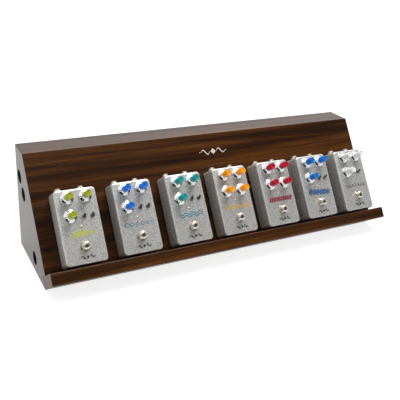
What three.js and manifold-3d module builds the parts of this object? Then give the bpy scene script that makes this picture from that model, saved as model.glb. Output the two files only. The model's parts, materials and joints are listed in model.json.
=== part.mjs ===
// A slanted wooden pedalboard with seven effect pedals standing on its front ledge.
//
// Millimetres, +Z up, +Y towards the back, +X to the player's right. The origin is the centre of
// the footprint, on the surface the board stands on.
//
// The sloping deck has a frame of its own: x along the board, y up the slope and z out of the deck.
// Its origin is on the line where the deck meets the top of the ledge, half way along the board.
// Each pedal has the same axes, with its origin on the deck at the middle of the pedal.

import * as THREE from 'three';
import { mergeVertices } from 'three/addons/utils/BufferGeometryUtils.js';
import Module from 'manifold-3d';

const wasm = await Module();
wasm.setup();

// ---------------------------------------------------------------- driving dimensions: the board

const boardLength = 615;
const deckAngle = THREE.MathUtils.degToRad(54.3);
const deckSlope = 181;            // deck surface, from the ledge up to the top edge
const topDepth = 44.5;            // level top, from its front edge to the back
const hingeHeight = 25.6;         // height of the line where the deck meets the ledge
const panelThickness = 12;
const bottomThickness = 9;
const backThickness = 6;
const ledgeThickness = 19;
const ledgeReach = 35.5;          // how far the ledge stands out in front of the deck
const ledgeUnder = 16.5;          // how far the ledge runs in under the deck
const ledgeChamfer = 1.5;
const gap = 0.3;                  // between touching pieces

const portRadius = 11;            // cable ports in the left end
const ports = [
  { back: 131, up: 101 },         // measured from the line where the deck meets the ledge
  { back: 111, up: 79 },
  { back: 58, up: -3 },
];
const cableSlot = { length: 160, height: 32, centreHeight: 42 };

// --------------------------------------------------------------- driving dimensions: the pedals

const pedalPitch = 85;
const pedalCentreUp = 58.5;       // up the slope from the ledge to the middle of each pedal
const rowShift = 6.2;             // the row of pedals stands a little right of the middle
const padThickness = 1.7;         // hook-and-loop pad under the base plate
const pad = { width: 44, length: 92 };
const plateThickness = 2;
const screwRadius = 1.8;          // holes for the base plate's screws
const boxWidth = 63;              // at the open rim; the sides taper towards the face
const boxLength = 112.5;
const boxTaper = 0.983;           // size of the face over the size of the rim
const boxTop = 33;                // height of the face above the deck
const boxCorner = 5;
const faceEdge = 2.4;             // rounding where the sides turn into the face
const wall = 2.2;

// Rows are measured up the slope from the middle of the pedal. Every fitting that stands on a wall
// is a nut round a bored bushing: rise is how far each stands proud of the wall.
const knobSpread = 27;
const knobRows = [42.7, 15.5];
const knob = {
  shaftRadius: 3, shaftDepth: 11, shaftHole: 3.6, clearance: 0.6,
  skirtRadius: 9.8, skirtHeight: 7.4, capRadius: 4.9, height: 21.4,
};
const toggleRow = 13;
const toggle = {
  nutRadius: 3.2, nutRise: 1.2, bushingRadius: 2.6, bushingRise: 2.4, bore: 1.9,
  pivotRise: 1.5, lean: THREE.MathUtils.degToRad(22),
};
const footswitchRow = -29.2;
const footswitch = {
  nutRadius: 6.8, nutRise: 2, bushingRadius: 5.6, bushingRise: 2.4, bore: 4.4,
  stemRadius: 4, stemDepth: 13, capRadius: 6.2, capRise: 5.2,
};
const lightRow = -1.5;
const light = { radius: 2, rise: 0.8 };
const jack = {
  spread: 34, shift: -1.8, height: 11,
  nutRadius: 5.5, nutRise: 2.6, bushingRadius: 4.4, bushingRise: 5.4, bore: 3.2,
};
const inlet = { radius: 5.6, height: 17 };

// Each pedal was set down by hand, so it stands a little off its even place in the row.
const pedals = [
  { name: 'reverb', knobs: 3, toggles: [6.8, 19.5], shift: -1.9 },
  { name: 'delay', knobs: 3, toggles: [6.8, 19.5], shift: 0.4 },
  { name: 'chorus', knobs: 3, toggles: [6.8, 19.5], shift: 2.5 },
  { name: 'distortion', knobs: 4, toggles: [], shift: 2.4 },
  { name: 'overdrive', knobs: 4, toggles: [], shift: 3 },
  { name: 'drive', knobs: 3, toggles: [6.8, 19.5], shift: 1.1 },
  { name: 'boost', knobs: 3, toggles: [13.2], shift: -0.3 },
];

// -------------------------------------------------------------------------------------- finishes

const walnut = { color: 0x3a2115, roughness: 0.45, metalness: 0 };
const walnutEnd = { color: 0x46301f, roughness: 0.5, metalness: 0 };
const castMetal = { color: 0xa9aaa6, roughness: 0.4, metalness: 0.8 };
const plateMetal = { color: 0x8c8d8e, roughness: 0.45, metalness: 0.9 };
const chrome = { color: 0xdedfe0, roughness: 0.12, metalness: 1 };
const blackPlastic = { color: 0x1b1b1d, roughness: 0.4, metalness: 0 };

// ---------------------------------------------------------------------------- general functions

function mesh(name, geometry, finish) {
  const result = new THREE.Mesh(geometry, new THREE.MeshStandardMaterial(finish));
  result.name = name;
  return result;
}

function toSolid(geometry) {
  const bare = geometry.clone();
  bare.deleteAttribute('normal');
  bare.deleteAttribute('uv');
  const merged = mergeVertices(bare, 1e-4);
  return new wasm.Manifold(new wasm.Mesh({
    numProp: 3,
    vertProperties: new Float32Array(merged.attributes.position.array),
    triVerts: new Uint32Array(merged.index.array),
  }));
}

function toGeometry(solid) {
  const result = solid.getMesh();
  const geometry = new THREE.BufferGeometry();
  geometry.setAttribute('position', new THREE.BufferAttribute(result.vertProperties, 3));
  geometry.setIndex(new THREE.BufferAttribute(result.triVerts, 1));
  return geometry;
}

// Joins the geometries of one list and cuts those of the other away.
function carve(joined, cut) {
  let solid = toSolid(joined[0]);
  for (const geometry of joined.slice(1)) {
    solid = solid.add(toSolid(geometry));
  }
  for (const geometry of cut) {
    solid = solid.subtract(toSolid(geometry));
  }
  return toGeometry(solid);
}

function roundedRectangle(width, length, radius) {
  const x = width / 2 - radius;
  const y = length / 2 - radius;
  const shape = new THREE.Shape();
  shape.absarc(x, y, radius, 0, Math.PI / 2);
  shape.absarc(-x, y, radius, Math.PI / 2, Math.PI);
  shape.absarc(-x, -y, radius, Math.PI, Math.PI * 1.5);
  shape.absarc(x, -y, radius, Math.PI * 1.5, Math.PI * 2);
  return shape;
}

// A round or many-sided post that stands along z, with the flats at the given radius.
function post(x, y, radius, low, high, sides) {
  const corner = radius / Math.cos(Math.PI / sides);
  const geometry = new THREE.CylinderGeometry(corner, corner, high - low, sides);
  geometry.rotateX(Math.PI / 2);
  return geometry.translate(x, y, (low + high) / 2);
}

// The same post lying along y, pointing up the slope.
function lyingPost(x, z, radius, low, high, sides) {
  const corner = radius / Math.cos(Math.PI / sides);
  const geometry = new THREE.CylinderGeometry(corner, corner, high - low, sides);
  return geometry.translate(x, (low + high) / 2, z);
}

// A turned piece: the profile holds [radius, height] pairs from the axis round to the axis.
function turned(profile, sides) {
  const points = profile.map(([radius, height]) => new THREE.Vector2(radius, height));
  const geometry = new THREE.LatheGeometry(points, sides);
  return geometry.rotateX(Math.PI / 2);
}

// ------------------------------------------------------------------------------------- the board

const slopeY = Math.cos(deckAngle);
const slopeZ = Math.sin(deckAngle);

// A point of the board's cross-section, given up the slope and out of the deck, as (back, up)
// from the line where the deck meets the ledge.
function onDeck(up, out) {
  return new THREE.Vector2(up * slopeY - out * slopeZ, up * slopeZ + out * slopeY);
}

// How far back a plane parallel to the deck is at a given height.
function backAt(height, out) {
  return (height * slopeY - out) / slopeZ;
}

const topFront = onDeck(deckSlope, 0);
const backFace = topFront.x + topDepth;
const topFace = topFront.y;
const floor = -hingeHeight;

const ledgeSection = [
  onDeck(-ledgeThickness, -ledgeUnder),
  onDeck(-ledgeThickness, ledgeReach - ledgeChamfer),
  onDeck(-ledgeThickness + ledgeChamfer, ledgeReach),
  onDeck(-ledgeChamfer, ledgeReach),
  onDeck(0, ledgeReach - ledgeChamfer),
  onDeck(0, -ledgeUnder),
];
const frontMost = Math.min(...ledgeSection.map((point) => point.x));
const hingeBack = -(frontMost + backFace) / 2;

// Stands a cross-section drawn as (back, up) in the world and draws it out along the board.
function drawnOut(section, length, holes = []) {
  const shape = new THREE.Shape(section);
  shape.holes = holes;
  return new THREE.ExtrudeGeometry(shape, { depth: length, bevelEnabled: false, curveSegments: 10 });
}

function stand(geometry, left) {
  const turn = new THREE.Matrix4().makeBasis(
    new THREE.Vector3(0, 1, 0),
    new THREE.Vector3(0, 0, 1),
    new THREE.Vector3(1, 0, 0),
  );
  geometry.applyMatrix4(turn);
  return geometry.translate(left, hingeBack, hingeHeight);
}

// A panel as long as the board whose ends are mitred: depthAt says how deep a point of the
// section lies below the outer face, and both ends step in by that much.
function mitredPanel(section, depthAt) {
  const geometry = drawnOut(section, boardLength);
  const position = geometry.attributes.position;
  for (let i = 0; i < position.count; i += 1) {
    const depth = depthAt(position.getX(i), position.getY(i));
    const inward = position.getZ(i) > boardLength / 2 ? -depth : depth;
    position.setZ(i, position.getZ(i) + inward);
  }
  return stand(geometry, -boardLength / 2);
}

// A panel whose outline changes from one face to the other, as a mitred end does.
function taperedPanel(firstOutline, secondOutline, left, holes) {
  const geometry = drawnOut(firstOutline, panelThickness, holes);
  const position = geometry.attributes.position;
  for (let i = 0; i < position.count; i += 1) {
    const place = new THREE.Vector2(position.getX(i), position.getY(i));
    const index = firstOutline.findIndex((point) => point.distanceTo(place) < 1e-3);
    if (index >= 0 && position.getZ(i) > panelThickness / 2) {
      position.setX(i, secondOutline[index].x);
      position.setY(i, secondOutline[index].y);
    }
  }
  return stand(geometry, left);
}

// The deck and the top meet in a mitre along the top front edge.
function makeDeckPanel() {
  const innerTop = topFace - panelThickness;
  const section = [
    onDeck(gap, -panelThickness),
    onDeck(gap, 0),
    topFront,
    new THREE.Vector2(backAt(innerTop, -panelThickness), innerTop),
  ];
  return mitredPanel(section.reverse(), (back, up) => back * slopeZ - up * slopeY);
}

function makeTopPanel() {
  const clearance = gap / slopeZ * 1.2;
  const innerTop = topFace - panelThickness;
  const section = [
    new THREE.Vector2(topFront.x + clearance, topFace),
    new THREE.Vector2(backAt(innerTop, -panelThickness) + clearance, innerTop),
    new THREE.Vector2(backFace, innerTop),
    new THREE.Vector2(backFace, topFace),
  ];
  return mitredPanel(section, (back, up) => topFace - up);
}

// The outline of an end, stepped in from the deck and the top by inset.
function endOutline(inset) {
  const underLedge = -ledgeUnder - gap;
  const top = topFace - inset;
  return [
    new THREE.Vector2(backAt(floor, underLedge), floor),
    new THREE.Vector2(backFace, floor),
    new THREE.Vector2(backFace, top),
    new THREE.Vector2(backAt(top, -inset), top),
    onDeck(gap, -inset),
    onDeck(gap, underLedge),
  ];
}

function makeEndPanel(side) {
  const mitreGap = gap * Math.SQRT2;
  const outer = endOutline(mitreGap);
  const inner = endOutline(mitreGap + panelThickness);
  if (side === 'right') {
    return taperedPanel(inner, outer, boardLength / 2 - panelThickness, []);
  }
  const holes = ports.map(({ back, up }) => {
    const path = new THREE.Path();
    path.absarc(back, up, portRadius, 0, Math.PI * 2, true);
    return path;
  });
  return taperedPanel(outer, inner, -boardLength / 2, holes);
}

const insideLength = boardLength - 2 * (panelThickness + gap);

function makeBottomPanel() {
  const underLedge = -ledgeUnder - gap;
  const back = backFace - backThickness - gap;
  const section = [
    new THREE.Vector2(backAt(floor, underLedge), floor),
    new THREE.Vector2(back, floor),
    new THREE.Vector2(back, floor + bottomThickness),
    new THREE.Vector2(backAt(floor + bottomThickness, underLedge), floor + bottomThickness),
  ];
  return stand(drawnOut(section, insideLength), -insideLength / 2);
}

function makeBackPanel() {
  const height = hingeHeight + topFace - panelThickness - gap;
  const shape = new THREE.Shape();
  shape.moveTo(-insideLength / 2, 0);
  shape.lineTo(insideLength / 2, 0);
  shape.lineTo(insideLength / 2, height);
  shape.lineTo(-insideLength / 2, height);
  const end = cableSlot.height / 2;
  const side = cableSlot.length / 2 - end;
  const slot = new THREE.Path();
  slot.absarc(side, cableSlot.centreHeight, end, -Math.PI / 2, Math.PI / 2);
  slot.absarc(-side, cableSlot.centreHeight, end, Math.PI / 2, Math.PI * 1.5);
  shape.holes.push(slot);
  const options = { depth: backThickness, bevelEnabled: false, curveSegments: 6 };
  const geometry = new THREE.ExtrudeGeometry(shape, options);
  geometry.rotateX(Math.PI / 2);
  return geometry.translate(0, hingeBack + backFace, 0);
}

// ------------------------------------------------------------------------- one pedal's own pieces

const plateBottom = gap + padThickness;
const plateTop = plateBottom + plateThickness;
const rim = plateTop + gap;
const inside = boxTop - wall;     // underside of the face

function knobPlaces(count) {
  const places = [];
  for (const y of knobRows) {
    for (const x of [-knobSpread / 2, knobSpread / 2]) {
      places.push([x, y]);
    }
  }
  return places.slice(0, count);
}

function makeBasePlate() {
  const outline = roundedRectangle(boxWidth, boxLength, boxCorner);
  const plate = new THREE.ExtrudeGeometry(outline, {
    depth: plateThickness, bevelEnabled: false, curveSegments: 2,
  });
  plate.translate(0, 0, plateBottom);
  const padHeight = padThickness + plateThickness / 2;
  const padding = new THREE.BoxGeometry(pad.width, pad.length, padHeight);
  padding.translate(0, 0, gap + padHeight / 2);
  const holes = [];
  for (const x of [-1, 1]) {
    for (const y of [-1, 1]) {
      const place = [x * (boxWidth / 2 - boxCorner), y * (boxLength / 2 - boxCorner)];
      holes.push(post(...place, screwRadius, 0, plateTop + 1, 6));
    }
  }
  return carve([plate, padding], holes);
}

// The cast body: a block with a rounded face and corners, tapering up from its open rim.
function makeBody() {
  const height = boxTop - rim;
  const size = [boxWidth - 2 * faceEdge, boxLength - 2 * faceEdge];
  const geometry = new THREE.ExtrudeGeometry(roundedRectangle(...size, boxCorner - faceEdge), {
    depth: height, bevelThickness: faceEdge, bevelSize: faceEdge, bevelSegments: 2, curveSegments: 2,
  });
  geometry.translate(0, 0, rim - faceEdge);
  const position = geometry.attributes.position;
  for (let i = 0; i < position.count; i += 1) {
    const scale = THREE.MathUtils.mapLinear(position.getZ(i), rim, boxTop, 1, boxTaper);
    position.setXY(i, position.getX(i) * scale, position.getY(i) * scale);
  }
  return geometry;
}

function makeEnclosure(pedal) {
  const cavity = new THREE.ExtrudeGeometry(
    roundedRectangle(boxWidth * boxTaper - 2 * wall, boxLength * boxTaper - 2 * wall, boxCorner - wall),
    { depth: inside - rim + 1, bevelEnabled: false, curveSegments: 1 },
  );
  cavity.translate(0, 0, rim - 1);
  const belowRim = new THREE.BoxGeometry(boxWidth * 1.2, boxLength * 1.2, boxTop);
  belowRim.translate(0, 0, rim - boxTop / 2);

  const fittings = [];
  const cuts = [];
  const addFitting = (x, y, size, sides) => {
    const root = boxTop - 1;
    fittings.push(post(x, y, size.nutRadius, root, boxTop + size.nutRise, sides));
    fittings.push(post(x, y, size.bushingRadius, root, boxTop + size.bushingRise, sides + 2));
    cuts.push(post(x, y, size.bore, inside - 1, boxTop + size.bushingRise + 1, sides));
  };
  for (const [x, y] of knobPlaces(pedal.knobs)) {
    cuts.push(post(x, y, knob.shaftHole, inside - 1, boxTop + 1, 8));
  }
  for (const x of pedal.toggles) {
    addFitting(x, toggleRow, toggle, 6);
  }
  addFitting(0, footswitchRow, footswitch, 12);
  fittings.push(post(0, lightRow, light.radius, boxTop - 1, boxTop + light.rise, 8));

  const upperEnd = boxLength / 2 * boxTaper;
  const insideEnd = upperEnd - 2 * wall;
  const root = upperEnd - 1;
  for (const side of [-1, 1]) {
    const x = jack.shift + side * jack.spread / 2;
    fittings.push(lyingPost(x, jack.height, jack.nutRadius, root, upperEnd + jack.nutRise, 6));
    fittings.push(lyingPost(x, jack.height, jack.bushingRadius, root, upperEnd + jack.bushingRise, 8));
    cuts.push(lyingPost(x, jack.height, jack.bore, insideEnd, upperEnd + jack.bushingRise + 1, 6));
  }
  cuts.push(lyingPost(0, inlet.height, inlet.radius, insideEnd, upperEnd + 3, 8));

  const shell = toGeometry(toSolid(makeBody()).subtract(toSolid(cavity)).subtract(toSolid(belowRim)));
  return carve([shell, ...fittings], cuts);
}

// A tall knob with a flared skirt, on its potentiometer shaft.
function makeKnob() {
  const foot = boxTop + knob.clearance;
  return turned([
    [0, boxTop - knob.shaftDepth],
    [knob.shaftRadius, boxTop - knob.shaftDepth],
    [knob.shaftRadius, foot],
    [knob.skirtRadius - 0.2, foot],
    [knob.skirtRadius, foot + 1.2],
    [knob.capRadius + 0.8, foot + knob.skirtHeight],
    [knob.capRadius, foot + knob.height],
    [0, foot + knob.height],
  ], 14);
}

// A toggle lever: height 0 is its pivot.
function makeToggle() {
  return turned([
    [0, -1.9],
    [1.2, -1.2],
    [1.1, 0],
    [1.1, 1.5],
    [1.7, 5.6],
    [1.2, 6.7],
    [0, 7],
  ], 8);
}

// A footswitch plunger: a plain stem with a domed cap.
function makeFootswitch() {
  const capBottom = boxTop + footswitch.capRise;
  return turned([
    [0, boxTop - footswitch.stemDepth],
    [footswitch.stemRadius, boxTop - footswitch.stemDepth],
    [footswitch.stemRadius, capBottom],
    [footswitch.capRadius, capBottom],
    [footswitch.capRadius, capBottom + 2.2],
    [4.8, capBottom + 3.7],
    [0, capBottom + 4.4],
  ], 14);
}

function makePedal(pedal) {
  const group = new THREE.Group();
  group.add(mesh(`${pedal.name}_enclosure`, makeEnclosure(pedal), castMetal));
  group.add(mesh(`${pedal.name}_base_plate`, makeBasePlate(), plateMetal));
  knobPlaces(pedal.knobs).forEach(([x, y], index) => {
    const node = mesh(`${pedal.name}_knob_${index + 1}`, makeKnob(), chrome);
    node.position.set(x, y, 0);
    group.add(node);
  });
  pedal.toggles.forEach((x, index) => {
    const node = mesh(`${pedal.name}_toggle_${index + 1}`, makeToggle(), blackPlastic);
    node.position.set(x, toggleRow, boxTop + toggle.pivotRise);
    node.rotation.x = -toggle.lean;
    group.add(node);
  });
  const plunger = mesh(`${pedal.name}_footswitch`, makeFootswitch(), chrome);
  plunger.position.set(0, footswitchRow, 0);
  group.add(plunger);
  return group;
}

// -------------------------------------------------------------------------------------- assembly

const pedalboard = new THREE.Group();
pedalboard.add(mesh('deck_panel', makeDeckPanel(), walnut));
pedalboard.add(mesh('top_panel', makeTopPanel(), walnut));
pedalboard.add(mesh('left_end_panel', makeEndPanel('left'), walnutEnd));
pedalboard.add(mesh('right_end_panel', makeEndPanel('right'), walnutEnd));
pedalboard.add(mesh('bottom_panel', makeBottomPanel(), walnutEnd));
pedalboard.add(mesh('back_panel', makeBackPanel(), walnutEnd));
const ledge = stand(drawnOut(ledgeSection, boardLength), -boardLength / 2);
pedalboard.add(mesh('pedal_ledge', ledge, walnut));

const deck = new THREE.Group();
deck.position.set(0, hingeBack, hingeHeight);
deck.rotation.x = deckAngle;
pedalboard.add(deck);

const middle = (pedals.length - 1) / 2;
pedals.forEach((pedal, index) => {
  const group = makePedal(pedal);
  group.position.set((index - middle) * pedalPitch + rowShift + pedal.shift, pedalCentreUp, 0);
  deck.add(group);
});

export default pedalboard;
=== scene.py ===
"""A slanted wooden pedalboard with seven effect pedals: the looks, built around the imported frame.

Lengths in the shape functions are millimetres in a pedal's or the deck's own axes: x along the
board, y up the slope, z out of the deck. MM turns them into Blender's metres.
"""

import json
import math

import bmesh
import bpy
from mathutils import Matrix, Vector


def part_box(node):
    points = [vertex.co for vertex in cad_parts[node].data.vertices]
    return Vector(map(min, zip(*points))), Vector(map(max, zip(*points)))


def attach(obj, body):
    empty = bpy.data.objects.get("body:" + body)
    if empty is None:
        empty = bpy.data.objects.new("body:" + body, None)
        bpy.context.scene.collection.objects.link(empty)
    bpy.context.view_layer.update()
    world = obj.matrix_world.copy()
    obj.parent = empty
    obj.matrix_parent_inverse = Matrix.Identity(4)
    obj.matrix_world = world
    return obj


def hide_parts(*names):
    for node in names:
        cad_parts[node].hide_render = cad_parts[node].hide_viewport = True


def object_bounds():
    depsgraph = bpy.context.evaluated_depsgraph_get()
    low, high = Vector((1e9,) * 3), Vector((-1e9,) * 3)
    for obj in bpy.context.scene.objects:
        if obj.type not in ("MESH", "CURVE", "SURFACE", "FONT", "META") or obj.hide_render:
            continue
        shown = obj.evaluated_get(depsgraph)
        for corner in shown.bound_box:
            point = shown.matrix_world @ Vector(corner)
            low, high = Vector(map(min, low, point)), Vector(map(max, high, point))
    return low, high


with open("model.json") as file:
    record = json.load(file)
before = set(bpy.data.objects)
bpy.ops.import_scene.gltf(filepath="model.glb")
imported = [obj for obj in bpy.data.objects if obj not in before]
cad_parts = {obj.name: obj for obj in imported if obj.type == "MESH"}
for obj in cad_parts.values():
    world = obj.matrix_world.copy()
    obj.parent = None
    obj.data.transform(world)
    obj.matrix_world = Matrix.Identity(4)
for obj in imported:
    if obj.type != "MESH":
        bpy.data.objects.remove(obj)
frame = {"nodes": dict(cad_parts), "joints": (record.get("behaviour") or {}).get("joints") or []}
CAD_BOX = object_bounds()
MM = 0.001

# ------------------------------------------------------------------------------ the frame's places

JOINTS = {joint["name"]: joint for joint in frame["joints"]}
NORMAL = Vector(JOINTS["reverb_knob_1_turn"]["axis"]).normalized()
ALONG = Vector((1, 0, 0))
UP_SLOPE = NORMAL.cross(ALONG)
DECK_ANGLE = math.atan2(UP_SLOPE.z, UP_SLOPE.y)

PLATE_MIDDLE = 3        # height above the deck of the middle of a base plate's node
PEDAL_CENTRE_UP = 58.5  # up the slope from the ledge to the middle of each pedal


def axes_at(point):
    """The matrix of the deck's axes with their origin at a point."""
    turn = Matrix((ALONG, UP_SLOPE, NORMAL)).transposed()
    return Matrix.Translation(point) @ turn.to_4x4()


def pedal_axes(name):
    """The deck's axes with their origin on the deck, under the middle of a pedal."""
    low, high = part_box(f"{name}_base_plate")
    return axes_at((low + high) / 2 - NORMAL * PLATE_MIDDLE * MM)


def deck_axes():
    """The deck's axes with their origin where the deck meets the ledge, in the middle."""
    place = pedal_axes("reverb").translation - UP_SLOPE * PEDAL_CENTRE_UP * MM
    place.x = 0
    return axes_at(place)


def in_pedal(name, joint):
    """Where a joint is, in millimetres in its pedal's axes."""
    return pedal_axes(name).inverted() @ Vector(JOINTS[joint]["pos_m"]) / MM


# ------------------------------------------------------------------------------ pedal dimensions

RIM = 4.3               # height of the enclosure's open rim above the deck
FACE = 33               # height of the face above the deck
BOX_WIDTH = 63
BOX_LENGTH = 112.5
BOX_CORNER = 5.5
BOX_TAPER = 0.983       # size of the box at its face, as a share of its size at the rim
WALL = 2.2
PLATE_UNDERSIDE = 2     # height of the base plate's underside, which the pad is stuck to
PLATE_TOP = 4
PLATE_EDGE = 0.35       # how far the plate's edges are rounded
SCREW_INSET = 5         # from a pedal's sides to its base plate's screws
SCREW_RADIUS = 2.6
PAD_WIDTH = 44
PAD_LENGTH = 92
PAD_CORNER = 3
PAD_UNDERSIDE = 0.3
PAD_EDGE = 0.25
JACK_SPREAD = 34
JACK_SHIFT = -1.8       # the jacks stand a little left of the pedal's middle
JACK_HEIGHT = 11
JACK_HOLE = 3.3         # radius of a jack's hole in the enclosure
INLET_HEIGHT = 17
INLET_HOLE = 5.7
TOGGLE_PIVOT = 1.5      # height of a toggle's pivot above the face
TOGGLE_LEAN = 22        # degrees that a toggle at rest leans up the slope
FOOTSWITCH_ROW = -29.2
LIGHT_ROW = -1.5
MOTIF_ROW = -11.3
MOTIF_SHIFT = 1.2       # the print stands a little right of the pedal's middle
ORNAMENT_ROW = -45.4
ORNAMENT_SIZE = (22, 8.5, 2.0)      # length, height and weight

# Each pedal's material slot, the colour of its knob caps and the colour of its print.
PEDALS = {
    "reverb": ("cap_lime", (0.33, 0.37, 0.006), (0.44, 0.50, 0.008)),
    "delay": ("cap_blue", (0.0, 0.155, 0.66), (0.020, 0.130, 0.270)),
    "chorus": ("cap_teal", (0.0, 0.30, 0.31), (0.010, 0.190, 0.230)),
    "distortion": ("cap_amber", (0.95, 0.34, 0.0), (0.560, 0.350, 0.060)),
    "overdrive": ("cap_red", (0.46, 0.0, 0.018), (0.230, 0.002, 0.030)),
    "drive": ("cap_blue", (0.0, 0.165, 0.60), (0.000, 0.070, 0.190)),
    "boost": ("cap_white", (0.80, 0.80, 0.79), (0.070, 0.070, 0.075)),
}


def taper(height):
    """The enclosure's size at a height, as a share of its size at the rim."""
    share = (height - RIM) / (FACE - RIM)
    return 1 + (BOX_TAPER - 1) * share


# -------------------------------------------------------------------------------- material nodes


class Nodes:
    """A material under construction: short calls that add a node and return its output."""

    def __init__(self, name):
        self.material = bpy.data.materials.new(name)
        self.material.use_nodes = True
        self.tree = self.material.node_tree
        self.shader = self.tree.nodes["Principled BSDF"]

    def add(self, kind, inputs=None, **settings):
        node = self.tree.nodes.new(kind)
        for key, value in settings.items():
            setattr(node, key, value)
        for key, value in (inputs or {}).items():
            self.feed(node.inputs[key], value)
        return node

    def feed(self, socket, value):
        if isinstance(value, bpy.types.NodeSocket):
            self.tree.links.new(value, socket)
        else:
            socket.default_value = value

    def set(self, **values):
        for key, value in values.items():
            self.feed(self.shader.inputs[key.replace("_", " ")], value)

    def coordinates(self, scale=(1, 1, 1), turn=(0, 0, 0)):
        source = self.add("ShaderNodeTexCoord").outputs["Object"]
        turned = self.add("ShaderNodeMapping", {"Vector": source, "Rotation": turn})
        scaled = self.add("ShaderNodeMapping", {"Vector": turned.outputs[0], "Scale": scale})
        return scaled.outputs["Vector"]

    def noise(self, vector, scale=1.0, detail=3.0, distortion=0.0, roughness=0.5):
        inputs = {
            "Vector": vector,
            "Scale": scale,
            "Detail": detail,
            "Distortion": distortion,
            "Roughness": roughness,
        }
        return self.add("ShaderNodeTexNoise", inputs).outputs["Fac"]

    def ramp(self, value, stops):
        node = self.add("ShaderNodeValToRGB", {"Fac": value})
        elements = node.color_ramp.elements
        while len(elements) < len(stops):
            elements.new(0.5)
        for element, (position, colour) in zip(elements, stops):
            element.position = position
            element.color = (*colour, 1)
        return node.outputs["Color"]

    def scaled(self, value, low, high, start=0.0, end=1.0):
        inputs = {"Value": value, "From Min": start, "From Max": end, "To Min": low, "To Max": high}
        return self.add("ShaderNodeMapRange", inputs).outputs["Result"]

    def mix(self, factor, first, second, blend="MIX"):
        node = self.add("ShaderNodeMix", data_type="RGBA", blend_type=blend)
        self.feed(node.inputs["Factor"], factor)
        self.feed(node.inputs["A"], first if not isinstance(first, tuple) else (*first, 1))
        self.feed(node.inputs["B"], second if not isinstance(second, tuple) else (*second, 1))
        return node.outputs["Result"]

    def bump(self, height, depth_mm, strength=1.0, normal=None):
        inputs = {"Height": height, "Distance": depth_mm * MM, "Strength": strength}
        if normal is not None:
            inputs["Normal"] = normal
        return self.add("ShaderNodeBump", inputs).outputs["Normal"]


def wood(name, turn, figure, seed, gloss):
    """Lacquered dark walnut. The grain runs along x once the coordinates are turned; figure is
    the list of colour stops from the darkest streak to the lightest, and gloss the specular level."""
    n = Nodes(name)
    shift = (seed * 0.37, seed * 0.11, seed * 0.23)
    turned = n.coordinates(turn=turn)
    moved = n.add("ShaderNodeMapping", {"Vector": turned, "Location": shift}).outputs[0]

    def stretched(along, across):
        scale = (along, across, across)
        return n.add("ShaderNodeMapping", {"Vector": moved, "Scale": scale}).outputs[0]

    broad = n.noise(stretched(1.1, 15), detail=4, distortion=0.35, roughness=0.6)
    bands = n.noise(stretched(2.4, 95), detail=5, distortion=0.25, roughness=0.62)
    fibres = n.noise(stretched(14, 900), detail=4, roughness=0.7)
    pores = n.noise(stretched(60, 2600), detail=2)
    streaks = n.mix(0.5, broad, bands)
    colour = n.ramp(streaks, figure)
    colour = n.mix(n.scaled(fibres, 0, 0.75, 0.35, 0.75), colour, (0.010, 0.005, 0.003))
    open_pores = n.scaled(pores, 0, 0.8, 0.60, 0.72)
    colour = n.mix(open_pores, colour, (0.006, 0.003, 0.002))
    grain = n.bump(fibres, 0.05, 0.35)
    grain = n.bump(open_pores, -0.06, 0.5, grain)
    n.set(
        Base_Color=colour,
        Roughness=n.scaled(fibres, 0.27, 0.40),
        Specular_IOR_Level=gloss,
        Normal=grain,
        Coat_Weight=0.3 * gloss,
        Coat_Roughness=0.16,
    )
    return n.material


def cast_metal():
    """The enclosures' hammered silver finish: small raised cells with metal flake between them."""
    n = Nodes("hammered_silver")
    place = n.coordinates()
    hammer = n.noise(place, 620, 2, distortion=0.6)
    flake = n.noise(place, 1500, 2, roughness=0.7)
    clouds = n.noise(place, 45, 4)
    colour = n.ramp(hammer, [(0.34, (0.32, 0.32, 0.305)), (0.66, (0.84, 0.83, 0.805))])
    colour = n.mix(n.scaled(flake, 0, 0.4, 0.35, 0.7), colour, (0.63, 0.625, 0.605))
    colour = n.mix(n.scaled(clouds, 0.0, 0.14), colour, (0.40, 0.40, 0.385))
    surface = n.bump(hammer, 0.30, 0.6)
    surface = n.bump(flake, 0.03, 0.4, surface)
    n.set(
        Base_Color=colour,
        Metallic=0.6,
        Roughness=n.scaled(hammer, 0.46, 0.32, 0.3, 0.7),
        Normal=surface,
        Coat_Weight=0.25,
        Coat_Roughness=0.14,
    )
    return n.material


def plated(name, colour, roughness, marks=0.012):
    """Polished or plated metal with faint turning marks and smears."""
    n = Nodes(name)
    place = n.coordinates()
    smear = n.noise(place, 160, 4, distortion=0.4)
    fine = n.noise(place, 1900, 2)
    dull = tuple(0.86 * channel for channel in colour)
    n.set(
        Base_Color=n.mix(n.scaled(smear, 0, 1, 0.35, 0.75), colour, dull),
        Metallic=1.0,
        Roughness=n.scaled(smear, roughness, roughness * 2.2, 0.3, 0.8),
        Normal=n.bump(fine, marks, 0.25),
    )
    return n.material


def gloss_plastic(name, colour):
    """A knob's coloured cap: moulded gloss plastic with a faint swirl in the pigment."""
    n = Nodes(name)
    place = n.coordinates()
    swirl = n.noise(place, 210, 4, distortion=0.8)
    fine = n.noise(place, 1500, 2)
    deep = tuple(0.72 * channel for channel in colour)
    n.set(
        Base_Color=n.mix(n.scaled(swirl, 0, 1, 0.3, 0.75), colour, deep),
        Roughness=n.scaled(fine, 0.22, 0.36),
        Specular_IOR_Level=0.3,
        Normal=n.bump(fine, 0.01, 0.3),
        Coat_Weight=0.15,
        Coat_Roughness=0.08,
    )
    return n.material


def ink(name, colour):
    """Printed paint: slightly uneven in colour and matt."""
    n = Nodes(name)
    place = n.coordinates()
    patchy = n.noise(place, 900, 4, roughness=0.7)
    thin = tuple(0.85 * channel + 0.03 for channel in colour)
    n.set(
        Base_Color=n.mix(n.scaled(patchy, 0, 0.35, 0.5, 0.8), colour, thin),
        Roughness=n.scaled(patchy, 0.35, 0.55),
        Normal=n.bump(patchy, 0.02, 0.4),
    )
    return n.material


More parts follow.
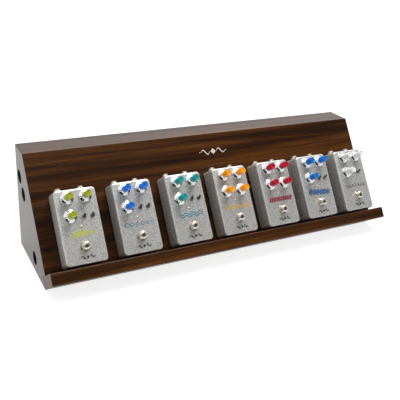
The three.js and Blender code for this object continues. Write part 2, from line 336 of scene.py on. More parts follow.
def black_plastic():
    """Moulded plastic or satin paint, a little worn."""
    n = Nodes("black_plastic")
    place = n.coordinates()
    grain = n.noise(place, 1300, 3)
    worn = n.noise(place, 120, 3)
    n.set(
        Base_Color=n.ramp(worn, [(0.3, (0.010, 0.010, 0.011)), (0.8, (0.030, 0.030, 0.031))]),
        Roughness=n.scaled(grain, 0.30, 0.48),
        Normal=n.bump(grain, 0.02, 0.4),
    )
    return n.material


def hook_and_loop():
    """The woven pad under each pedal."""
    n = Nodes("hook_and_loop")
    cells = n.add("ShaderNodeTexVoronoi", {"Vector": n.coordinates(), "Scale": 900.0})
    loops = cells.outputs["Distance"]
    n.set(
        Base_Color=n.ramp(loops, [(0.0, (0.035, 0.035, 0.036)), (0.6, (0.008, 0.008, 0.008))]),
        Roughness=0.9,
        Normal=n.bump(loops, -0.4, 0.8),
        Sheen_Weight=0.4,
    )
    return n.material


def lens(name, colour):
    """A status light's moulded lens, unlit."""
    n = Nodes(name)
    cells = n.add("ShaderNodeTexVoronoi", {"Vector": n.coordinates(), "Scale": 1400.0})
    facets = cells.outputs["Distance"]
    deep = tuple(0.5 * channel for channel in colour)
    n.set(
        Base_Color=n.mix(n.scaled(facets, 0, 1, 0, 0.7), colour, deep),
        Roughness=0.12,
        Normal=n.bump(facets, 0.08, 0.5),
        Coat_Weight=0.6,
        Coat_Roughness=0.05,
    )
    return n.material


def brushed_silver():
    """The deck's inlay: thin sheet metal brushed along its length."""
    n = Nodes("brushed_silver")
    lines = n.noise(n.coordinates(scale=(40, 3000, 3000)), detail=3)
    spots = n.noise(n.coordinates(), 130, 3)
    n.set(
        Base_Color=n.mix(n.scaled(spots, 0, 0.5), (0.86, 0.74, 0.61), (0.66, 0.55, 0.44)),
        Metallic=0.3,
        Roughness=n.scaled(lines, 0.24, 0.44),
        Normal=n.bump(lines, 0.02, 0.4),
    )
    return n.material


def studio_floor():
    """A plain pale floor, bright enough to meet the white background without an edge."""
    n = Nodes("studio_floor")
    soft = n.noise(n.coordinates(), 6, 2)
    n.set(
        Base_Color=n.ramp(soft, [(0.3, (0.27, 0.27, 0.27)), (0.8, (0.31, 0.31, 0.31))]),
        Roughness=0.9,
        Specular_IOR_Level=0.0,
        Emission_Color=(1, 1, 1, 1),
        Emission_Strength=0.84,
    )
    return n.material


WALNUT_FIGURE = [
    (0.37, (0.010, 0.0035, 0.0012)),
    (0.46, (0.027, 0.0085, 0.0020)),
    (0.54, (0.074, 0.0245, 0.0048)),
    (0.64, (0.150, 0.0530, 0.0100)),
]
PLAIN_FIGURE = [
    (0.34, (0.018, 0.0080, 0.0045)),
    (0.50, (0.034, 0.0150, 0.0080)),
    (0.68, (0.070, 0.0300, 0.0150)),
]

CAST = cast_metal()
CHROME = plated("polished_chrome", (0.86, 0.87, 0.88), 0.045)
NICKEL = plated("warm_nickel", (0.70, 0.65, 0.56), 0.19)
GUNMETAL = plated("gunmetal", (0.22, 0.22, 0.22), 0.28)
STEEL = plated("zinc_steel", (0.55, 0.55, 0.54), 0.26)
BLACK = black_plastic()
WOVEN = hook_and_loop()
SILVER = brushed_silver()
DARK_INK = ink("dark_ink", (0.026, 0.026, 0.032))
PALE_NICKEL = plated("pale_nickel", (0.86, 0.80, 0.70), 0.2)

# ------------------------------------------------------------------------------- shape functions


def finish_mesh(mesh, sharp_degrees=38):
    """Smooth shading, apart from the edges sharper than the given angle."""
    for polygon in mesh.polygons:
        polygon.use_smooth = True
    mesh.set_sharp_from_angle(angle=math.radians(sharp_degrees))
    return mesh


def make_mesh(name, vertices, faces, sharp_degrees=38):
    """A mesh from points in millimetres."""
    mesh = bpy.data.meshes.new(name)
    mesh.from_pydata([tuple(Vector(v) * MM) for v in vertices], [], faces)
    mesh.validate()
    return finish_mesh(mesh, sharp_degrees)


def loft(name, rings, closed=False, sharp_degrees=38):
    """Joins rings of equal length, each drawn anticlockwise, into one skin with both ends capped.
    A closed loft joins its last ring to its first instead."""
    count = len(rings[0])
    vertices = [point for ring in rings for point in ring]
    faces = []
    steps = len(rings) if closed else len(rings) - 1
    for r in range(steps):
        low = r * count
        high = (r + 1) % len(rings) * count
        for i in range(count):
            j = (i + 1) % count
            faces.append((low + i, low + j, high + j, high + i))
    if not closed:
        last = (len(rings) - 1) * count
        faces.append(tuple(reversed(range(count))))
        faces.append(tuple(last + i for i in range(count)))
    return make_mesh(name, vertices, faces, sharp_degrees)


def softened(profile, amount, steps=3, closed=False):
    """Rounds the corners of a profile of (radius, height) points."""
    points = [Vector(p) for p in profile]
    result = []
    for i, here in enumerate(points):
        if not closed and i in (0, len(points) - 1):
            result.append(here)
            continue
        before = points[i - 1] - here
        after = points[(i + 1) % len(points)] - here
        reach_before = min(amount, before.length * 0.45)
        reach_after = min(amount, after.length * 0.45)
        start = here + before.normalized() * reach_before
        end = here + after.normalized() * reach_after
        for k in range(steps + 1):
            t = k / steps
            result.append(start * (1 - t) ** 2 + here * 2 * t * (1 - t) + end * t**2)
    return [(p.x, p.y) for p in result]


def turned(name, profile, segments=48, shape=None):
    """A turned solid. The profile runs from the axis at the bottom round to the axis at the top.
    shape(radius, height, angle) may change the radius, as flutes do."""
    shape = shape or (lambda radius, height, angle: radius)
    vertices = [(0, 0, profile[0][1])]
    body = profile[1:-1]
    for radius, height in body:
        for i in range(segments):
            angle = 2 * math.pi * i / segments
            r = shape(radius, height, angle)
            vertices.append((r * math.cos(angle), r * math.sin(angle), height))
    vertices.append((0, 0, profile[-1][1]))
    top = len(vertices) - 1
    faces = []
    for i in range(segments):
        j = (i + 1) % segments
        faces.append((0, 1 + j, 1 + i))
        for r in range(len(body) - 1):
            low = 1 + r * segments
            faces.append((low + i, low + j, low + segments + j, low + segments + i))
        last = 1 + (len(body) - 1) * segments
        faces.append((last + i, last + j, top))
    return make_mesh(name, vertices, faces)


def turned_ring(name, profile, segments=48, shape=None, sharp_degrees=38):
    """A turned piece with a hole through it. The closed profile runs up the outside."""
    shape = shape or (lambda radius, height, angle: radius)
    rings = []
    for radius, height in profile:
        ring = []
        for i in range(segments):
            angle = 2 * math.pi * i / segments
            r = shape(radius, height, angle)
            ring.append((r * math.cos(angle), r * math.sin(angle), height))
        rings.append(ring)
    return loft(name, rings, closed=True, sharp_degrees=sharp_degrees)


def nut(name, apothem, bore, low, high, sides=6):
    """A nut with chamfered corners."""
    corner = apothem / math.cos(math.pi / sides)
    chamfer = corner - apothem * 1.02

    def shape(radius, height, angle):
        if radius <= bore + 1e-6:
            return radius
        part = 2 * math.pi / sides
        flat = apothem / math.cos((angle % part) - part / 2)
        return min(flat, radius)

    profile = [
        (bore, low),
        (corner - chamfer * 0.5, low),
        (corner, low + chamfer * 0.4),
        (corner, high - chamfer * 0.6),
        (corner - chamfer, high),
        (bore, high),
    ]
    return turned_ring(name, profile, 48, shape, 25)


def threaded(name, radius, bore, low, high, pitch=0.8):
    """A threaded bushing: its outside rises and falls once for each turn of the thread."""
    profile = [(bore, low), (radius - 0.3, low)]
    count = max(2, int((high - low) / pitch))
    step = (high - low) / count
    for i in range(count):
        profile.append((radius - 0.28, low + step * (i + 0.15)))
        profile.append((radius, low + step * (i + 0.5)))
        profile.append((radius - 0.28, low + step * (i + 0.85)))
    profile += [(radius - 0.5, high), (bore + 0.3, high), (bore, high - 0.3)]
    return turned_ring(name, profile, 40, sharp_degrees=50)


def rounded_outline(width, length, radius):
    """The points of a rectangle with rounded corners, drawn anticlockwise."""
    steps = 7
    points = []
    for quarter, (sx, sy) in enumerate([(1, 1), (-1, 1), (-1, -1), (1, -1)]):
        centre = Vector((sx * (width / 2 - radius), sy * (length / 2 - radius)))
        for k in range(steps + 1):
            angle = math.pi / 2 * (quarter + k / steps)
            points.append(centre + Vector((math.cos(angle), math.sin(angle))) * radius)
    return points


def outline_ring(width, length, radius, inset, height):
    """A rounded rectangle set in from its full size, at a height, for a loft."""
    smallest = 0.02
    corner = max(radius - inset, smallest)
    sides = rounded_outline(width - 2 * inset, length - 2 * inset, corner)
    return [(p.x, p.y, height) for p in sides]


def slab(name, width, length, radius, low, high, edge):
    """A flat plate with rounded corners and softened edges."""
    steps = 3
    rings = []
    for k in range(steps + 1):
        angle = math.pi / 2 * k / steps
        inset = edge * (1 - math.sin(angle))
        rings.append(outline_ring(width, length, radius, inset, low + edge * (1 - math.cos(angle))))
    for k in range(steps + 1):
        angle = math.pi / 2 * k / steps
        inset = edge * (1 - math.cos(angle))
        rings.append(outline_ring(width, length, radius, inset, high - edge * (1 - math.sin(angle))))
    return loft(name, rings)


def shifted(mesh, x, y, z, turn=None):
    """Moves a mesh's points, in millimetres, after an optional turn."""
    if turn is not None:
        mesh.transform(turn)
    mesh.transform(Matrix.Translation(Vector((x, y, z)) * MM))
    return mesh


def joined(name, meshes):
    """Several meshes as one."""
    whole = bmesh.new()
    for mesh in meshes:
        whole.from_mesh(mesh)
    result = bpy.data.meshes.new(name)
    whole.to_mesh(result)
    whole.free()
    return finish_mesh(result)


def cut(mesh, cutters):
    """A mesh with cutter meshes taken away from it."""
    target = bpy.data.objects.new("target", mesh)
    tool = bpy.data.objects.new("tool", joined("tool", cutters))
    for obj in (target, tool):
        bpy.context.scene.collection.objects.link(obj)
    modifier = target.modifiers.new("cut", "BOOLEAN")
    modifier.operation = "DIFFERENCE"
    modifier.solver = "EXACT"
    modifier.object = tool
    evaluated = target.evaluated_get(bpy.context.evaluated_depsgraph_get())
    result = bpy.data.meshes.new_from_object(evaluated)
    result.name = mesh.name + "_cut"
    bpy.data.objects.remove(target)
    bpy.data.objects.remove(tool)
    return finish_mesh(result, 30)


def post_mesh(radius, low, high, segments=40):
    """A plain upright cylinder."""
    profile = [(0, low), (radius, low), (radius, high), (0, high)]
    return turned("post", profile, segments)


def ribbons(name, strokes, base, thickness=0.16):
    """Flat printed or inlaid strokes. Each stroke is a list of (x, y, width)."""
    vertices = []
    faces = []
    for stroke in strokes:
        points = [Vector(p[:2]) for p in stroke]
        first = len(vertices)
        for i, point in enumerate(points):
            ahead = points[min(i + 1, len(points) - 1)]
            behind = points[max(i - 1, 0)]
            direction = (ahead - behind).normalized()
            side = Vector((-direction.y, direction.x)) * stroke[i][2] / 2
            for offset, height in ((-1, base), (1, base), (1, base + thickness), (-1, base + thickness)):
                place = point + side * offset
                vertices.append((place.x, place.y, height))
        for i in range(len(points) - 1):
            a = first + 4 * i
            b = a + 4
            for k in range(4):
                m = (k + 1) % 4
                faces.append((a + k, b + k, b + m, a + m))
        last = first + 4 * (len(points) - 1)
        faces.append((first, first + 1, first + 2, first + 3))
        faces.append((last + 3, last + 2, last + 1, last))
    mesh = make_mesh(name, vertices, faces, 20)
    shell = bmesh.new()
    shell.from_mesh(mesh)
    bmesh.ops.recalc_face_normals(shell, faces=shell.faces)
    shell.to_mesh(mesh)
    shell.free()
    return finish_mesh(mesh, 20)


# --------------------------------------------------------------------------- placing the pieces


def place_piece(name, mesh, matrix, body, material):
    """Puts a mesh in the scene as a piece that rides on a body."""
    piece = bpy.data.objects.new(name, mesh)
    bpy.context.scene.collection.objects.link(piece)
    piece.matrix_world = matrix
    mesh.materials.clear()
    mesh.materials.append(material)
    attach(piece, body)
    return piece


def keep_flats(piece):
    """Keeps broad flat faces flat in shading where they run into rounded edges."""
    modifier = piece.modifiers.new("flats", "WEIGHTED_NORMAL")
    modifier.keep_sharp = True
    modifier.weight = 100


# --------------------------------------------------------------------------------- pedal pieces


def enclosure_mesh():
    """The cast box: tapering sides, a rounded face and an open rim, with its sockets' holes."""
    fillet = 3.0
    steps = 7
    chamfer = 0.3

    def at(height):
        return BOX_WIDTH * taper(height), BOX_LENGTH * taper(height)

    rings = []
    underside = FACE - WALL
    for height in (underside, RIM):
        rings.append(outline_ring(*at(height), BOX_CORNER, WALL, height))
    rings.append(outline_ring(*at(RIM), BOX_CORNER, chamfer, RIM))
    rings.append(outline_ring(*at(RIM + chamfer), BOX_CORNER, 0, RIM + chamfer))
    for k in range(steps + 1):
        angle = math.pi / 2 * k / steps
        height = FACE - fillet * (1 - math.sin(angle))
        inset = fillet * (1 - math.cos(angle))
        rings.append(outline_ring(*at(height), BOX_CORNER, inset, height))
    shell = loft("enclosure", rings)
    upright = Matrix.Rotation(-math.pi / 2, 4, "X")
    end = BOX_LENGTH / 2
    reach = 7
    holes = []
    for side in (-1, 1):
        x = JACK_SHIFT + side * JACK_SPREAD / 2
        holes.append(shifted(post_mesh(JACK_HOLE, -reach, reach), x, end, JACK_HEIGHT, upright))
    holes.append(shifted(post_mesh(INLET_HOLE, -reach, reach), 0, end, INLET_HEIGHT, upright))
    return cut(shell, holes)


def knob_body_mesh():
    """The shaft and the chrome skirt: an upright rim, a shallow scalloped cone and a neck."""
    flutes = 16
    flute_depth = 0.38
    flute_top = 7.4
    foot = 0.6
    cone_foot = 2.7
    cone_top = 3.9
    collar = 8.0
    shaft_radius = 3
    shaft_end = -11
    rim_radius = 9.8
    cone_radius = 9.5
    neck_radius = 5.6
    flare = 0.7         # how much wider the neck is where it meets the cone
    steps = 6

    def shape(radius, height, angle):
        share = (height - cone_foot) / (flute_top - cone_foot)
        if not 0 < share < 1:
            return radius
        depth = flute_depth * math.sin(math.pi * share) ** 0.5
        return radius - depth * (0.5 - 0.5 * math.cos(flutes * angle))

    shaft = [(0, shaft_end), (shaft_radius, shaft_end), (shaft_radius, foot)]
    rim = [(rim_radius - 0.5, foot), (rim_radius, foot + 0.3), (rim_radius, cone_foot - 0.5)]
    profile = softened(shaft + rim + [(cone_radius, cone_foot)], 0.12, 2)
    for k in range(1, steps + 1):
        share = k / steps
        radius = cone_radius + (neck_radius + flare - cone_radius) * share
        profile.append((radius, cone_foot + (cone_top - cone_foot) * share))
    for k in range(1, steps + 1):
        share = k / steps
        height = cone_top + (collar - 0.4 - cone_top) * share
        profile.append((neck_radius + flare * (1 - share) ** 2, height))
    profile += [(neck_radius - 0.05, collar), (neck_radius - 0.4, collar + 0.1), (0, collar + 0.1)]
    return turned("knob_skirt", profile, flutes * 8, shape)


def knob_cap_mesh():
    """The coloured cap: a tall plug with a rounded shoulder and a shallow dished top."""
    foot = 8.05
    top = 22.0
    side = [(0, foot), (5.2, foot), (5.3, foot + 0.5), (4.9, top - 0.3), (4.0, top), (3.6, top - 0.35)]
    dish = [(3.6, top - 0.35), (2.6, top - 0.48), (1.3, top - 0.54), (0, top - 0.56)]
    return turned("knob_cap", softened(side, 0.5, 4)[:-1] + dish, 56)


def knob_pointer_mesh():
    """The fine line across the cap's shoulder that shows where the knob points."""
    line = [(1.8, 21.55), (3.7, 21.85), (4.3, 21.92), (4.86, 21.45), (5.02, 18.5)]
    half_width = 0.3
    depth = 0.25
    vertices = [(x, y, z) for x in (-half_width, half_width) for y, z in line]
    count = len(line)
    inner = [(x, y - depth, z - depth) for x, y, z in vertices]
    faces = []
    for i in range(count - 1):
        faces.append((i, i + count, i + count + 1, i + 1))
        faces.append((2 * count + i, 2 * count + i + 1, 3 * count + i + 1, 3 * count + i))
        faces.append((i, i + 1, 2 * count + i + 1, 2 * count + i))
        faces.append((count + i, 3 * count + i, 3 * count + i + 1, count + i + 1))
    faces.append((0, 2 * count, 3 * count, count))
    faces.append((count - 1, 2 * count - 1, 4 * count - 1, 3 * count - 1))
    return make_mesh("knob_pointer", vertices + inner, faces)


def lever_mesh():
    """A short bat-shaped toggle lever. Height 0 is its pivot."""
    profile = [(0, -1.9), (0.9, -1.7), (1.2, -1.0), (1.1, 0), (1.05, 1.5), (1.35, 3.6)]
    profile += [(1.7, 5.6), (1.55, 6.4), (0.9, 6.9), (0, 7.0)]
    return turned("toggle_lever", profile, 28)


def toggle_hardware_mesh():
    """A toggle's nut round its threaded bushing."""
    hexagon = nut("hexagon", apothem=3.1, bore=2.4, low=0, high=1.3)
    bushing = threaded("bushing", radius=2.6, bore=1.7, low=0.1, high=2.4, pitch=0.5)
    return joined("toggle_hardware", [hexagon, bushing])


def footswitch_hardware_mesh():
    """A footswitch's washer, nut and threaded bushing."""
    profile = softened([(5.5, 0), (8.2, 0), (8.2, 0.6), (5.5, 0.6)], 0.2, 2, closed=True)
    washer = turned_ring("washer", profile, 56)
    hexagon = nut("hexagon", apothem=6.5, bore=5.4, low=0.6, high=2.0)
    bushing = threaded("bushing", radius=5.6, bore=4.3, low=0.1, high=2.4, pitch=0.6)
    return joined("footswitch_hardware", [washer, hexagon, bushing])


def plunger_mesh():
    """The footswitch's plunger: a stem and a domed, flat-shouldered cap."""
    shoulder = 5.2
    rim = 7.2
    dome_radius = 6.2
    dome_height = 2.4
    steps = 8
    stem = [(0, -13), (3.7, -13), (4.0, -12.7), (4.0, shoulder - 0.3), (4.3, shoulder)]
    cap = [(5.7, shoulder), (6.15, shoulder + 0.4), (dome_radius, rim)]
    for k in range(1, steps):
        angle = math.pi / 2 * k / steps
        cap.append((dome_radius * math.cos(angle) ** 0.9, rim + dome_height * math.sin(angle)))
    cap.append((0, rim + dome_height))
    return turned("plunger", stem + cap, 56)


def jack_mesh():
    """A jack's washer, nut and threaded nose, pointing along +z."""
    profile = softened([(4.5, 0), (6.2, 0), (6.2, 0.5), (4.5, 0.5)], 0.15, 2, closed=True)
    washer = turned_ring("washer", profile)
    hexagon = nut("hexagon", apothem=5.4, bore=4.3, low=0.5, high=2.6)
    nose = threaded("nose", radius=4.4, bore=3.2, low=-1.0, high=5.4)
    return joined("jack", [washer, hexagon, nose])


def inlet_mesh():
    """The power inlet: a flanged plastic cup."""
    cup = [(5.5, -1.5), (5.5, 0), (6.3, 0.05), (6.3, 0.9), (5.9, 1.2), (3.1, 1.2), (2.75, 0.8)]
    cup += [(2.75, -8), (4.6, -8), (4.6, -1.5)]
    return turned_ring("inlet", cup)


def inlet_pin_mesh():
    """The metal base and the pin inside the power inlet."""
    socket = post_mesh(2.9, -8.6, -7.6, 32)
    pin = turned("pin", softened([(0, -8), (1.05, -8), (1.05, -0.4), (0, 0.1)], 0.3), 24)
    return joined("inlet_pin", [socket, pin])


def bezel_mesh():
    """The ring round a status light."""
    profile = softened([(1.4, 0), (2.1, 0), (1.95, 0.6), (1.4, 0.8)], 0.15, closed=True)
    return turned_ring("bezel", profile, 40)


def lens_mesh():
    """A status light's domed lens."""
    profile = [(0, -0.4), (1.35, -0.4), (1.35, 0.7), (1.2, 1.1), (0.75, 1.4), (0, 1.5)]
    return turned("lens", profile, 32)


def screw_mesh(radius):
    """A countersunk screw head with a cross recess, facing +z."""
    arm_length = radius * 1.25
    arm_width = radius * 0.28
    profile = [(0, -1.2), (radius * 0.5, -1.2), (radius, -0.15), (radius, 0), (0, 0.05)]
    head = turned("screw_head", softened(profile, 0.12, 2), 32)
    arms = []
    for turn in (0, math.pi / 2):
        arm = slab("arm", arm_length, arm_width, 0.05, -0.5, 0.5, 0.04)
        arm.transform(Matrix.Rotation(turn, 4, "Z"))
        arms.append(arm)
    return cut(cut(head, arms[:1]), arms[1:])


# ------------------------------------------------------------------------------- printed motifs


def curve(function, start, end, count, width):
    """A stroke that follows y = function(x)."""
    stroke = []
    for i in range(count + 1):
        x = start + (end - start) * i / count
        stroke.append((x, function(x), width))
    return stroke


def slanted_bars(count, pitch, slant, heights, width):
    """Bars in a row. The slant is how far each leans for its height, and heights(i) is half the
    height of bar i."""
    bars = []
    for i in range(count):
        x = (i - (count - 1) / 2) * pitch
        half = heights(i)
        bars.append([(x - slant * half, -half, width), (x + slant * half, half, width)])
    return bars


def diamonds():
    """Six open diamonds in a row, each smaller than the one before."""
    strokes = []
    for i in range(6):
        x = -20.5 + i * 8.2
        size = 3.9 - i * 0.3
        corners = [(x - size, 0), (x, size), (x + size, 0), (x, -size), (x - size, 0)]
        strokes.append([(a, b, 1.15 - 0.05 * i) for a, b in corners])
    return strokes


def double_wave():
    """Two waves, one above the other."""
    strokes = []
    for lift in (-1.9, 1.9):
        strokes.append(curve(lambda x, y=lift: y + 1.7 * math.sin(x * 0.5), -21, 21, 66, 1.4))
    return strokes


def falling_bars():
    """Bars of uneven height in a row that falls a little to the right."""
    bars = slanted_bars(15, 3.0, 0.3, lambda i: 2.4 + 3.4 * abs(math.sin(1.3 * i + 0.4)), 2.3)
    return [[(x, y - 0.09 * x, width) for x, y, width in bar] for bar in bars]


def chevrons():
    """Seven chevrons in a row that arches a little."""
    strokes = []
    for i in range(7):
        x = -19.5 + i * 6.5
        lift = 1.2 * math.sin(math.pi * i / 6)
        strokes.append([(x - 2.2, lift - 2.8, 1.6), (x, lift + 2.8, 1.6), (x + 2.2, lift - 2.8, 1.6)])
    return strokes


# An abstract printed motif for each pedal, up to about 46 mm by 12 mm.
MOTIFS = {
    "reverb": slanted_bars(15, 2.4, 0.2, lambda i: 1.6 + 3.2 * math.exp(-((i - 5) / 5) ** 2), 1.4),
    "delay": diamonds(),
    "chorus": double_wave(),
    "distortion": slanted_bars(17, 2.85, 0, lambda i: 4.2 if i % 2 else 2.6, 1.6),
    "overdrive": slanted_bars(12, 3.8, 0.45, lambda i: 3.8, 2.7),
    "drive": falling_bars(),
    "boost": chevrons(),
}


def disc_stroke(x, y, radius):
    """A dot, as a stroke that swells and narrows again."""
    stroke = []
    count = 12
    for i in range(count + 1):
        angle = math.pi * i / count
        width = max(2 * radius * math.sin(angle), 0.02)
        stroke.append((x - radius * math.cos(angle), y, width))
    return stroke


def flourish_strokes(length, height, weight):
    """A plain ornament: a lozenge between two tapering waves, each ending in a dot. The weight is
    the breadth of the waves."""
    half = length / 2
    lozenge = height * 0.3
    strokes = [[(-lozenge, 0, 0.02), (0, 0, 2 * lozenge), (lozenge, 0, 0.02)]]
    for side in (-1, 1):
        wave = []
        count = 28
        start = lozenge * 1.35
        for i in range(count + 1):
            share = i / count
            x = side * (start + (half * 0.86 - start) * share)
            y = side * height * 0.3 * math.sin(2 * math.pi * share) * (1 - 0.45 * share)
            width = weight * math.sin(math.pi * (0.08 + 0.88 * share)) ** 0.8
            wave.append((x, y, width))
        strokes.append(wave if side > 0 else wave[::-1])
        strokes.append(disc_stroke(side * half * 0.94, 0, weight * 0.4))
    return strokes


# ---------------------------------------------------------------------------- building the pedals

ENCLOSURE = enclosure_mesh()
PLATE = slab("base_plate", BOX_WIDTH, BOX_LENGTH, BOX_CORNER, PLATE_UNDERSIDE, PLATE_TOP, PLATE_EDGE)
PAD = slab("pad", PAD_WIDTH, PAD_LENGTH, PAD_CORNER, PAD_UNDERSIDE, PLATE_UNDERSIDE, PAD_EDGE)
KNOB_BODY = knob_body_mesh()
LEVER = lever_mesh()
TOGGLE_HARDWARE = toggle_hardware_mesh()
FOOTSWITCH_HARDWARE = footswitch_hardware_mesh()
PLUNGER = plunger_mesh()
JACK = jack_mesh()
INLET = inlet_mesh()
INLET_PIN = inlet_pin_mesh()
BEZEL = bezel_mesh()
LENS = lens_mesh()
PLATE_SCREW = screw_mesh(SCREW_RADIUS)
POINTER_INK = ink("pointer_ink", (0.02, 0.02, 0.022))
POINTER = knob_pointer_mesh()
ORNAMENT = ribbons("ornament", flourish_strokes(*ORNAMENT_SIZE), 0)


def local(matrix, x, y, z, turn=None):
    """A place in a pedal's or the deck's axes, in millimetres, with an optional turn."""
    place = matrix @ Matrix.Translation(Vector((x, y, z)) * MM)
    return place if turn is None else place @ turn


def build_box(name, axes):
    """The enclosure, its base plate with four screws, and the pad."""
    body = "board"
    box = place_piece(f"{name}_box", ENCLOSURE, axes, body, CAST)
    keep_flats(box)
    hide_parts(f"{name}_enclosure")
    plate = place_piece(f"{name}_plate", PLATE, axes, body, STEEL)
    keep_flats(plate)
    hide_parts(f"{name}_base_plate")
    place_piece(f"{name}_pad", PAD, axes, body, WOVEN)
    down = Matrix.Rotation(math.pi, 4, "X")
    screws = []
    for x in (-1, 1):
        for y in (-1, 1):
            place = (x * (BOX_WIDTH / 2 - SCREW_INSET), y * (BOX_LENGTH / 2 - SCREW_INSET))
            screws.append(shifted(PLATE_SCREW.copy(), *place, PLATE_UNDERSIDE, down))
    mesh = joined(f"{name}_plate_screws", screws)
    place_piece(f"{name}_plate_screws", mesh, axes, body, STEEL)


def build_sockets(name, axes):
    """Two jacks and a power inlet in the enclosure's upper end."""
    out = Matrix.Rotation(-math.pi / 2, 4, "X")

    def end_at(height):
        return BOX_LENGTH / 2 * taper(height)

    for side, label in ((-1, "output"), (1, "input")):
        x = JACK_SHIFT + side * JACK_SPREAD / 2
        place = local(axes, x, end_at(JACK_HEIGHT), JACK_HEIGHT, out)
        place_piece(f"{name}_{label}_jack", JACK, place, "board", PALE_NICKEL)
    place = local(axes, 0, end_at(INLET_HEIGHT), INLET_HEIGHT, out)
    place_piece(f"{name}_power_inlet", INLET, place, "board", BLACK)
    place_piece(f"{name}_power_pin", INLET_PIN, place, "board", NICKEL)


def build_knobs(name, axes, cap_material):
    """A skirt with its shaft, a cap and a pointer line for each of the pedal's knobs."""
    cap_mesh = knob_cap_mesh()
    for number in range(1, 5):
        knob = f"{name}_knob_{number}"
        if knob not in frame["nodes"]:
            continue
        x, y, z = in_pedal(name, f"{knob}_turn")
        place = local(axes, x, y, z)
        skirt = place_piece(f"{knob}_skirt", KNOB_BODY, place, knob, CHROME)
        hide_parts(knob)
        place_piece(f"{knob}_cap", cap_mesh, place, knob, cap_material)
        place_piece(f"{knob}_pointer", POINTER, place, knob, POINTER_INK)


def build_toggles(name, axes):
    """A bushing with its nut, and a lever, for each of the pedal's toggles."""
    lean = Matrix.Rotation(-math.radians(TOGGLE_LEAN), 4, "X")
    for number in (1, 2):
        toggle = f"{name}_toggle_{number}"
        if toggle not in frame["nodes"]:
            continue
        x, y, z = in_pedal(name, f"{toggle}_flip")
        place = local(axes, x, y, z - TOGGLE_PIVOT)
        place_piece(f"{toggle}_bushing", TOGGLE_HARDWARE, place, "board", GUNMETAL)
        place = local(axes, x, y, z, lean)
        lever = place_piece(f"{toggle}_lever", LEVER, place, toggle, BLACK)
        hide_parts(toggle)


def build_footswitch(name, axes):
    """The footswitch's washer, nut and bushing, and the plunger that presses into them."""
    place = local(axes, 0, FOOTSWITCH_ROW, FACE)
    place_piece(f"{name}_footswitch_nut", FOOTSWITCH_HARDWARE, place, "board", NICKEL)
    body = f"{name}_footswitch"
    plunger = place_piece(f"{name}_plunger", PLUNGER, place, body, NICKEL)
    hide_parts(body)


def build_light(name, axes):
    """The status light: lime on the reverb pedal and clear on the others. Each has its own mesh,
    because it has its own material."""
    slot, colour = "cap_white", (0.45, 0.45, 0.44)
    if name == "reverb":
        slot, _, colour = PEDALS[name]
    place = local(axes, 0, LIGHT_ROW, FACE)
    place_piece(f"{name}_light_bezel", BEZEL, place, "board", NICKEL)
    material = lens(f"{name}_lens", colour)
    place_piece(f"{name}_light", LENS.copy(), place, "board", material)


def build_print(name, axes, tint):
    """The pedal's motif in its own colour, and the dark ornament below the footswitch."""
    place = local(axes, MOTIF_SHIFT, MOTIF_ROW, FACE)
    motif = ribbons(f"{name}_motif", MOTIFS[name], 0)
    material = ink(f"{name}_ink", tint)
    place_piece(f"{name}_motif", motif, place, "board", material)
    place = local(axes, MOTIF_SHIFT, ORNAMENT_ROW, FACE)
    place_piece(f"{name}_ornament", ORNAMENT, place, "board", DARK_INK)


def build_pedal(name):
    slot, colour, tint = PEDALS[name]
    axes = pedal_axes(name)
    cap_material = gloss_plastic(f"{name}_cap_plastic", colour)
    build_box(name, axes)
    build_sockets(name, axes)
    build_knobs(name, axes, cap_material)
    build_toggles(name, axes)
    build_footswitch(name, axes)
    build_light(name, axes)
    build_print(name, axes, tint)


for pedal_name in PEDALS:
    build_pedal(pedal_name)

# ------------------------------------------------------------------------------------- the board


def soften_panel(node, width_mm):
    """Rounds a wooden panel's edges a little."""
    panel = frame["nodes"][node]
    weld = panel.modifiers.new("weld", "WELD")
    weld.merge_threshold = 0.01 * MM
    bevel = panel.modifiers.new("edges", "BEVEL")
    bevel.width = width_mm * MM
    bevel.segments = 3
    bevel.limit_method = "ANGLE"
    bevel.angle_limit = math.radians(25)
    bevel.harden_normals = True


def dress_panel(node, material, edge_mm):
    """Gives a wooden panel its material and soft edges."""
    panel = frame["nodes"][node]
    panel.data.materials.clear()
    panel.data.materials.append(material)
    soften_panel(node, edge_mm)


def dress_board():
    tilt = (-DECK_ANGLE, 0, 0)
    across = (0, 0, math.pi / 2)
    level = (0, 0, 0)
    dress_panel("deck_panel", wood("deck_walnut", tilt, WALNUT_FIGURE, 1, 0.12), 0.35)
    dress_panel("pedal_ledge", wood("ledge_walnut", tilt, WALNUT_FIGURE, 7, 0.15), 0.6)
    dress_panel("top_panel", wood("top_walnut", level, WALNUT_FIGURE, 3, 0.42), 0.35)
    dress_panel("left_end_panel", wood("left_walnut", across, PLAIN_FIGURE, 4, 0.4), 0.35)
    dress_panel("right_end_panel", wood("right_walnut", across, PLAIN_FIGURE, 5, 0.4), 0.35)
    dress_panel("bottom_panel", wood("bottom_walnut", level, PLAIN_FIGURE, 6, 0.4), 0.5)
    dress_panel("back_panel", wood("back_walnut", level, PLAIN_FIGURE, 8, 0.4), 0.5)


def build_inlay():
    """The deck's silver inlay, high on the slope, a little right of the middle."""
    length = 54
    height = 17
    right = 6
    up_slope = 150
    sunk = 0.2
    thickness = 0.65
    place = local(deck_axes(), right, up_slope, 0)
    mesh = ribbons("deck_inlay", flourish_strokes(length, height, 1.9), -sunk, thickness)
    place_piece("deck_inlay", mesh, place, "board", SILVER)


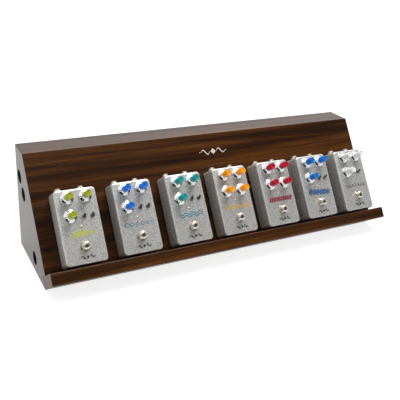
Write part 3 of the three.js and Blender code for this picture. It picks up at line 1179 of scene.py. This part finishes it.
def build_back_screws():
    """Two rows of screws, each turned on from the one before, as a driver leaves them."""
    radius = 3.4
    columns = 5
    turn_between = 0.9
    margin = 9 * MM
    low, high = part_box("back_panel")
    upright = Matrix.Rotation(-math.pi / 2, 4, "X")
    screws = []
    for row_height in (low.z + margin, high.z - margin):
        for i in range(columns):
            x = low.x + margin + (high.x - low.x - 2 * margin) * i / (columns - 1)
            screw = screw_mesh(radius)
            screw.transform(upright @ Matrix.Rotation(i * turn_between, 4, "Z"))
            screw.transform(Matrix.Translation((x, high.y, row_height)))
            screws.append(screw)
    mesh = joined("back_panel_screws", screws)
    place_piece("back_panel_screws", mesh, Matrix.Identity(4), "board", STEEL)


dress_board()
build_inlay()
build_back_screws()

# ------------------------------------------------------------------------------------ the studio


def build_floor():
    """A wide floor, set just under the board so that the two don't share a plane."""
    ground = CAD_BOX[0][2]
    gap = 0.4 * MM
    size = 8
    mesh = bpy.data.meshes.new("studio_floor")
    corners = [(-size, -size), (size, -size), (size, size), (-size, size)]
    mesh.from_pydata([(x, y, ground - gap) for x, y in corners], [], [(0, 1, 2, 3)])
    floor = bpy.data.objects.new("studio_floor", mesh)
    bpy.context.scene.collection.objects.link(floor)
    mesh.materials.append(studio_floor())


def build_light_source(name, place, size, power):
    """A white rectangular light, aimed at the board."""
    target = Vector((0, 0, 0.1))
    light = bpy.data.lights.new(name, "AREA")
    light.shape = "RECTANGLE"
    light.size, light.size_y = size
    light.energy = power
    obj = bpy.data.objects.new(name, light)
    bpy.context.scene.collection.objects.link(obj)
    obj.location = place
    obj.rotation_euler = (target - Vector(place)).to_track_quat("-Z", "Y").to_euler()


def build_world():
    """White overhead and all round, with a wide dark panel in front of the board, between the
    horizon and overhead. The panel's upper edge slopes down to the left."""
    world = bpy.data.worlds.new("studio")
    bpy.context.scene.world = world
    world.use_nodes = True
    tree = world.node_tree
    background = tree.nodes["Background"]
    direction = tree.nodes.new("ShaderNodeTexCoord").outputs["Generated"]

    def fade(value, start, end):
        node = tree.nodes.new("ShaderNodeMapRange")
        node.interpolation_type = "SMOOTHSTEP"
        node.inputs["From Min"].default_value = start
        node.inputs["From Max"].default_value = end
        tree.links.new(value, node.inputs["Value"])
        return node.outputs["Result"]

    def along(axis):
        node = tree.nodes.new("ShaderNodeVectorMath")
        node.operation = "DOT_PRODUCT"
        node.inputs[1].default_value = axis
        tree.links.new(direction, node.inputs[0])
        return node.outputs["Value"]

    front = fade(along((-0.2, -0.98, 0.0)), 0.0, 0.35)
    lower_edge = fade(along((0.0, 0.0, 1.0)), 0.07, 0.18)
    upper_edge = fade(along((-0.35, 0.0, 1.0)), 0.78, 0.62)
    dark = front
    for edge in (lower_edge, upper_edge):
        both = tree.nodes.new("ShaderNodeMath")
        both.operation = "MULTIPLY"
        tree.links.new(dark, both.inputs[0])
        tree.links.new(edge, both.inputs[1])
        dark = both.outputs[0]
    strength = tree.nodes.new("ShaderNodeMapRange")
    strength.inputs["To Min"].default_value = 1.0
    strength.inputs["To Max"].default_value = 0.02
    tree.links.new(dark, strength.inputs["Value"])
    tree.links.new(strength.outputs["Result"], background.inputs["Strength"])
    background.inputs["Color"].default_value = (1, 1, 1, 1)


def build_camera():
    """The camera, solved from the outlines of the panels and pedals in the photograph."""
    camera = bpy.data.cameras.new("camera")
    camera.lens = 54.195
    camera.sensor_width = 36
    camera.clip_end = 50
    obj = bpy.data.objects.new("camera", camera)
    bpy.context.scene.collection.objects.link(obj)
    place = Vector((-0.4871, -0.7880, 0.5082))
    target = Vector((-0.0132, 0.0291, 0.0600))
    roll = math.radians(4.57)
    aim = (target - place).to_track_quat("-Z", "Y").to_matrix().to_4x4()
    obj.matrix_world = Matrix.Translation(place) @ aim @ Matrix.Rotation(roll, 4, "Z")
    bpy.context.scene.camera = obj


build_floor()
build_world()
build_light_source("key", (0.4, -0.1, 1.9), (1.0, 0.7), 24)
build_light_source("top", (0.3, 0.6, 1.7), (1.6, 0.8), 11)
build_camera()
bpy.context.scene.view_settings.view_transform = "Standard"
